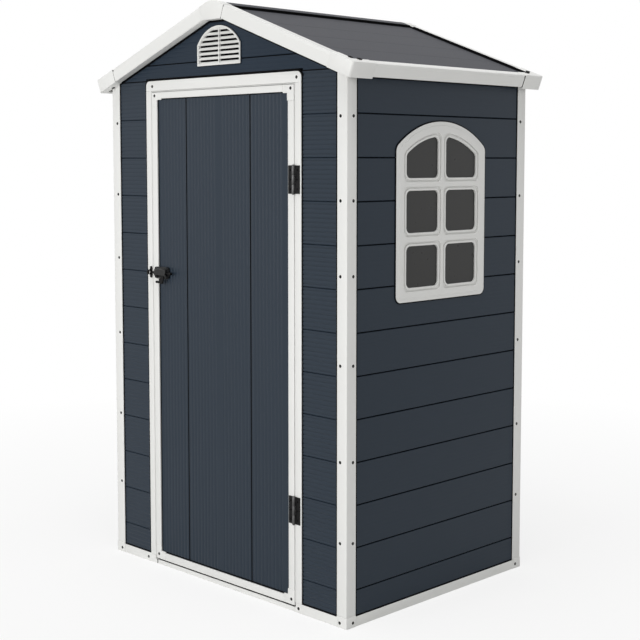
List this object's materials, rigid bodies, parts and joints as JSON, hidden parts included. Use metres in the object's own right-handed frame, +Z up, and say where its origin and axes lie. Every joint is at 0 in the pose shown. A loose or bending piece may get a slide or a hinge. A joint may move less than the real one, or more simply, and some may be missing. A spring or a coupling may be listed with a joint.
{
  "type": "plastic tool shed",
  "caption": "Small plastic garden tool shed with dark grooved panels in a white frame, a gabled roof, a hinged ribbed door with a slide bolt, an arched side window and a gable vent.",
  "frame": {"origin": "on the ground at the middle of the plan", "axes": "+X to the right seen from the front, -Y out of the front with the door, +Z up"},
  "size_m": [1.284, 0.9554, 1.9668],
  "materials": {
    "panel": "matt, ribbed",
    "trim": "satin",
    "roof": "matt",
    "floor": "matt",
    "seal": "matt",
    "glazing": "smoked acrylic",
    "hardware": "black powder coat"
  },
  "bodies": {
    "root": {"floor_panel": "floor", "base_rail_left": "trim", "base_rail_right": "trim", "base_rail_rear": "trim", "base_rails_front": "trim", "door_sill": "trim", "corner_feet": "trim", "post_front_left": "trim", "post_front_right": "trim", "post_rear_left": "trim", "post_rear_right": "trim", "wall_front_left": "panel", "wall_front_right": "panel", "wall_rear": "panel", "wall_left": "panel", "wall_right": "panel", "gable_front": "panel", "gable_rear": "panel", "gable_vent": "trim", "window_frame": "trim", "window_glass": "glazing", "door_jamb_left": "trim", "door_jamb_right": "trim", "door_head": "trim", "hinge_jamb_leaves": "hardware", "latch_keeper": "hardware", "eaves_rails": "roof", "roof_panel_left": "roof", "roof_panel_right": "roof", "roof_seals": "seal", "ridge_cap": "roof", "bargeboards_front": "trim", "bargeboards_rear": "trim", "apex_caps": "trim", "fascias": "trim", "eave_caps": "trim"},
    "door": {"door_panel": "panel", "door_stile_left": "trim", "door_stile_right": "trim", "door_rail_top": "trim", "door_rail_bottom": "trim", "door_corners": "trim", "hinge_door_leaves": "hardware", "latch_case": "hardware"},
    "bolt": {"latch_bolt": "hardware"}
  },
  "joints": [
    {"name": "door_hinge", "type": "hinge", "parent": "root", "child": "door", "pos_m": [0.36, -0.452, 0], "axis": [0, 0, 1], "range_deg": [0, 165]},
    {"name": "bolt_slide", "type": "slide", "parent": "door", "child": "bolt", "axis": [-1, 0, 0], "range_m": [0, 0.024]}
  ]
}
